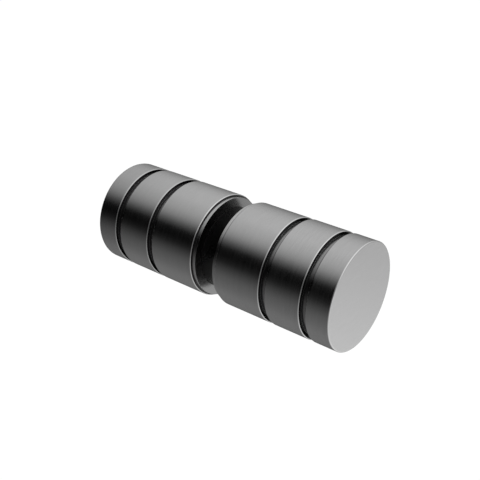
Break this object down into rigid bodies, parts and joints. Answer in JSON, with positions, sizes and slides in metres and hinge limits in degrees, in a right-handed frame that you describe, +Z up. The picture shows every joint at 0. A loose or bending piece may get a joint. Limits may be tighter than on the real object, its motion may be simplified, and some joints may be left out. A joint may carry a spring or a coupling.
{
  "type": "shower door knob pair",
  "caption": "Back-to-back cylindrical shower door handle: turned knobs with square grip grooves on a threaded stud, with washers and gaskets that clamp the glass between them.",
  "frame": {"origin": "on the knobs' common axis, in the middle of the glass gap, which is also the centre of the whole pair", "axes": "+X along the common axis towards the outside knob, +Z up on the upright door, the glass lies in the YZ plane"},
  "size_m": [0.0804, 0.03, 0.03],
  "materials": {
    "knob_steel": "satin stainless steel, brushed round the barrel and straight across the free end",
    "gasket_rubber": "black EPDM rubber, stamped from smooth sheet",
    "stud_steel": "bright zinc-plated steel with a rolled thread",
    "sleeve_plastic": "black moulded nylon"
  },
  "bodies": {
    "root": {"outside_knob": "knob_steel", "inside_knob": "knob_steel", "outside_washer": "knob_steel", "inside_washer": "knob_steel", "outside_gasket": "gasket_rubber", "inside_gasket": "gasket_rubber", "connecting_stud": "stud_steel", "glass_sleeve": "sleeve_plastic"}
  },
  "joints": []
}
